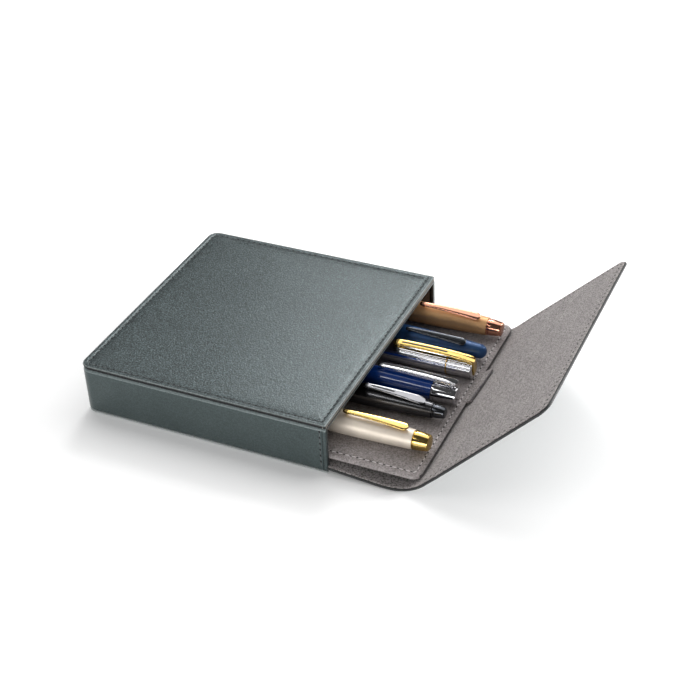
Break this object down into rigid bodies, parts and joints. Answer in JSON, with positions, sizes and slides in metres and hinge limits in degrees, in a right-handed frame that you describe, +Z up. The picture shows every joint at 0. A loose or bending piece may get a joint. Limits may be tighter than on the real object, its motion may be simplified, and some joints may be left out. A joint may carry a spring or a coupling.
{
  "type": "pen case",
  "caption": "Flat leather pen case: a sleeve with a pull-out suede tray that holds six pens, closed by a long magnetic flap that wraps over the mouth.",
  "frame": {"origin": "middle of the underside of the sleeve, on the surface that it rests on", "axes": "+X out of the mouth, towards the flap; +Y to the far side; +Z up"},
  "size_m": [0.2929, 0.17, 0.0801],
  "materials": {
    "grey_leather": "fine grained, satin",
    "suede": "brushed microfibre suede",
    "board": "pressed grey board",
    "steel": "plain",
    "magnet": "nickel plated",
    "glide_plastic": "matte",
    "elastic": "woven elastic",
    "copper_satin": "satin lacquer",
    "blue_matte": "matte lacquer",
    "navy_gloss": "gloss lacquer",
    "gunmetal": "satin lacquer with fine lines",
    "champagne_satin": "satin lacquer",
    "bright_metal": "polished",
    "chrome": "polished",
    "gold": "polished",
    "rose_gold": "polished",
    "dark_steel": "dark polished"
  },
  "bodies": {
    "sleeve": {"bottom_panel_leather": "grey_leather", "top_panel_leather": "grey_leather", "side_band_leather": "grey_leather", "bottom_board": "board", "top_board": "board", "near_wall_board": "board", "far_wall_board": "board", "rear_wall_board": "board", "rear_corner_strips": "board", "roof_lining": "suede", "floor_lining": "suede", "wall_lining": "suede", "mouth_binding": "grey_leather", "catch_plates": "steel", "flap_anchor_tongue": "grey_leather"},
    "tray": {"tray_board": "board", "tray_top_lining": "suede", "tray_bottom_lining": "suede", "tray_glides": "glide_plastic", "pen_loops": "elastic"},
    "pull_tab": {"pull_tab": "suede"},
    "flap_front": {"flap_front_leather": "grey_leather", "flap_front_lining": "suede"},
    "flap_curve": {"flap_curve_leather": "grey_leather", "flap_curve_lining": "suede"},
    "flap_panel": {"flap_panel_leather": "grey_leather", "flap_panel_lining": "suede", "flap_board": "board", "flap_magnets": "magnet"},
    "copper_pen": {"copper_pen_cap": "copper_satin", "copper_pen_barrel": "copper_satin", "copper_pen_clip": "rose_gold", "copper_pen_finial": "rose_gold"},
    "blue_pen": {"blue_pen_cap": "blue_matte", "blue_pen_barrel": "blue_matte", "blue_pen_clip": "dark_steel"},
    "ribbed_pen": {"ribbed_pen_cap": "bright_metal", "ribbed_pen_barrel": "bright_metal", "ribbed_pen_clip": "gold", "ribbed_pen_finial": "bright_metal"},
    "navy_pen": {"navy_pen_cap": "navy_gloss", "navy_pen_barrel": "navy_gloss", "navy_pen_clip": "chrome", "navy_pen_finial": "chrome"},
    "gunmetal_pen": {"gunmetal_pen_cap": "gunmetal", "gunmetal_pen_barrel": "gunmetal", "gunmetal_pen_clip": "chrome", "gunmetal_pen_finial": "dark_steel"},
    "champagne_pen": {"champagne_pen_cap": "champagne_satin", "champagne_pen_barrel": "champagne_satin", "champagne_pen_clip": "gold", "champagne_pen_finial": "gold"}
  },
  "joints": [
    {"name": "tray_slide", "type": "slide", "parent": "sleeve", "child": "tray", "axis": [1, 0, 0], "range_m": [-0.065, 0]},
    {"name": "flap_root_hinge", "type": "hinge", "parent": "sleeve", "child": "flap_front", "pos_m": [0.0829, 0, 0.005], "axis": [0, -1, 0], "range_deg": [0, 94.78], "deforming": ["flap_front_leather", "flap_front_lining"]},
    {"name": "flap_fold_hinge", "type": "hinge", "parent": "flap_front", "child": "flap_curve", "pos_m": [0.11519, 0, 0.0023], "axis": [0, -1, 0], "range_deg": [0, 85.22], "deforming": ["flap_curve_leather", "flap_curve_lining"]},
    {"name": "flap_curve_hinge", "type": "hinge", "parent": "flap_curve", "child": "flap_panel", "pos_m": [0.13142, 0, 0.00454], "axis": [0, -1, 0], "range_deg": [-44.7, 0]},
    {"name": "pull_tab_bend", "type": "hinge", "parent": "tray", "child": "pull_tab", "pos_m": [0.1393, 0.011, 0.0112], "axis": [0, -1, 0], "range_deg": [0, 35], "deforming": ["pull_tab"]},
    {"name": "copper_pen_slide", "type": "slide", "parent": "tray", "child": "copper_pen", "axis": [1, 0, 0], "range_m": [0, 0.005]},
    {"name": "blue_pen_slide", "type": "slide", "parent": "tray", "child": "blue_pen", "axis": [1, 0, 0], "range_m": [0, 0.005]},
    {"name": "ribbed_pen_slide", "type": "slide", "parent": "tray", "child": "ribbed_pen", "axis": [1, 0, 0], "range_m": [0, 0.005]},
    {"name": "navy_pen_slide", "type": "slide", "parent": "tray", "child": "navy_pen", "axis": [1, 0, 0], "range_m": [0, 0.005]},
    {"name": "gunmetal_pen_slide", "type": "slide", "parent": "tray", "child": "gunmetal_pen", "axis": [1, 0, 0], "range_m": [0, 0.005]},
    {"name": "champagne_pen_slide", "type": "slide", "parent": "tray", "child": "champagne_pen", "axis": [1, 0, 0], "range_m": [0, 0.005]}
  ],
  "couplings": [
    {"joint": "flap_root_hinge", "follows": "tray_slide", "rad_per_m": -25.45},
    {"joint": "flap_fold_hinge", "follows": "tray_slide", "rad_per_m": -22.883},
    {"joint": "flap_curve_hinge", "follows": "tray_slide", "rad_per_m": 12.002}
  ]
}
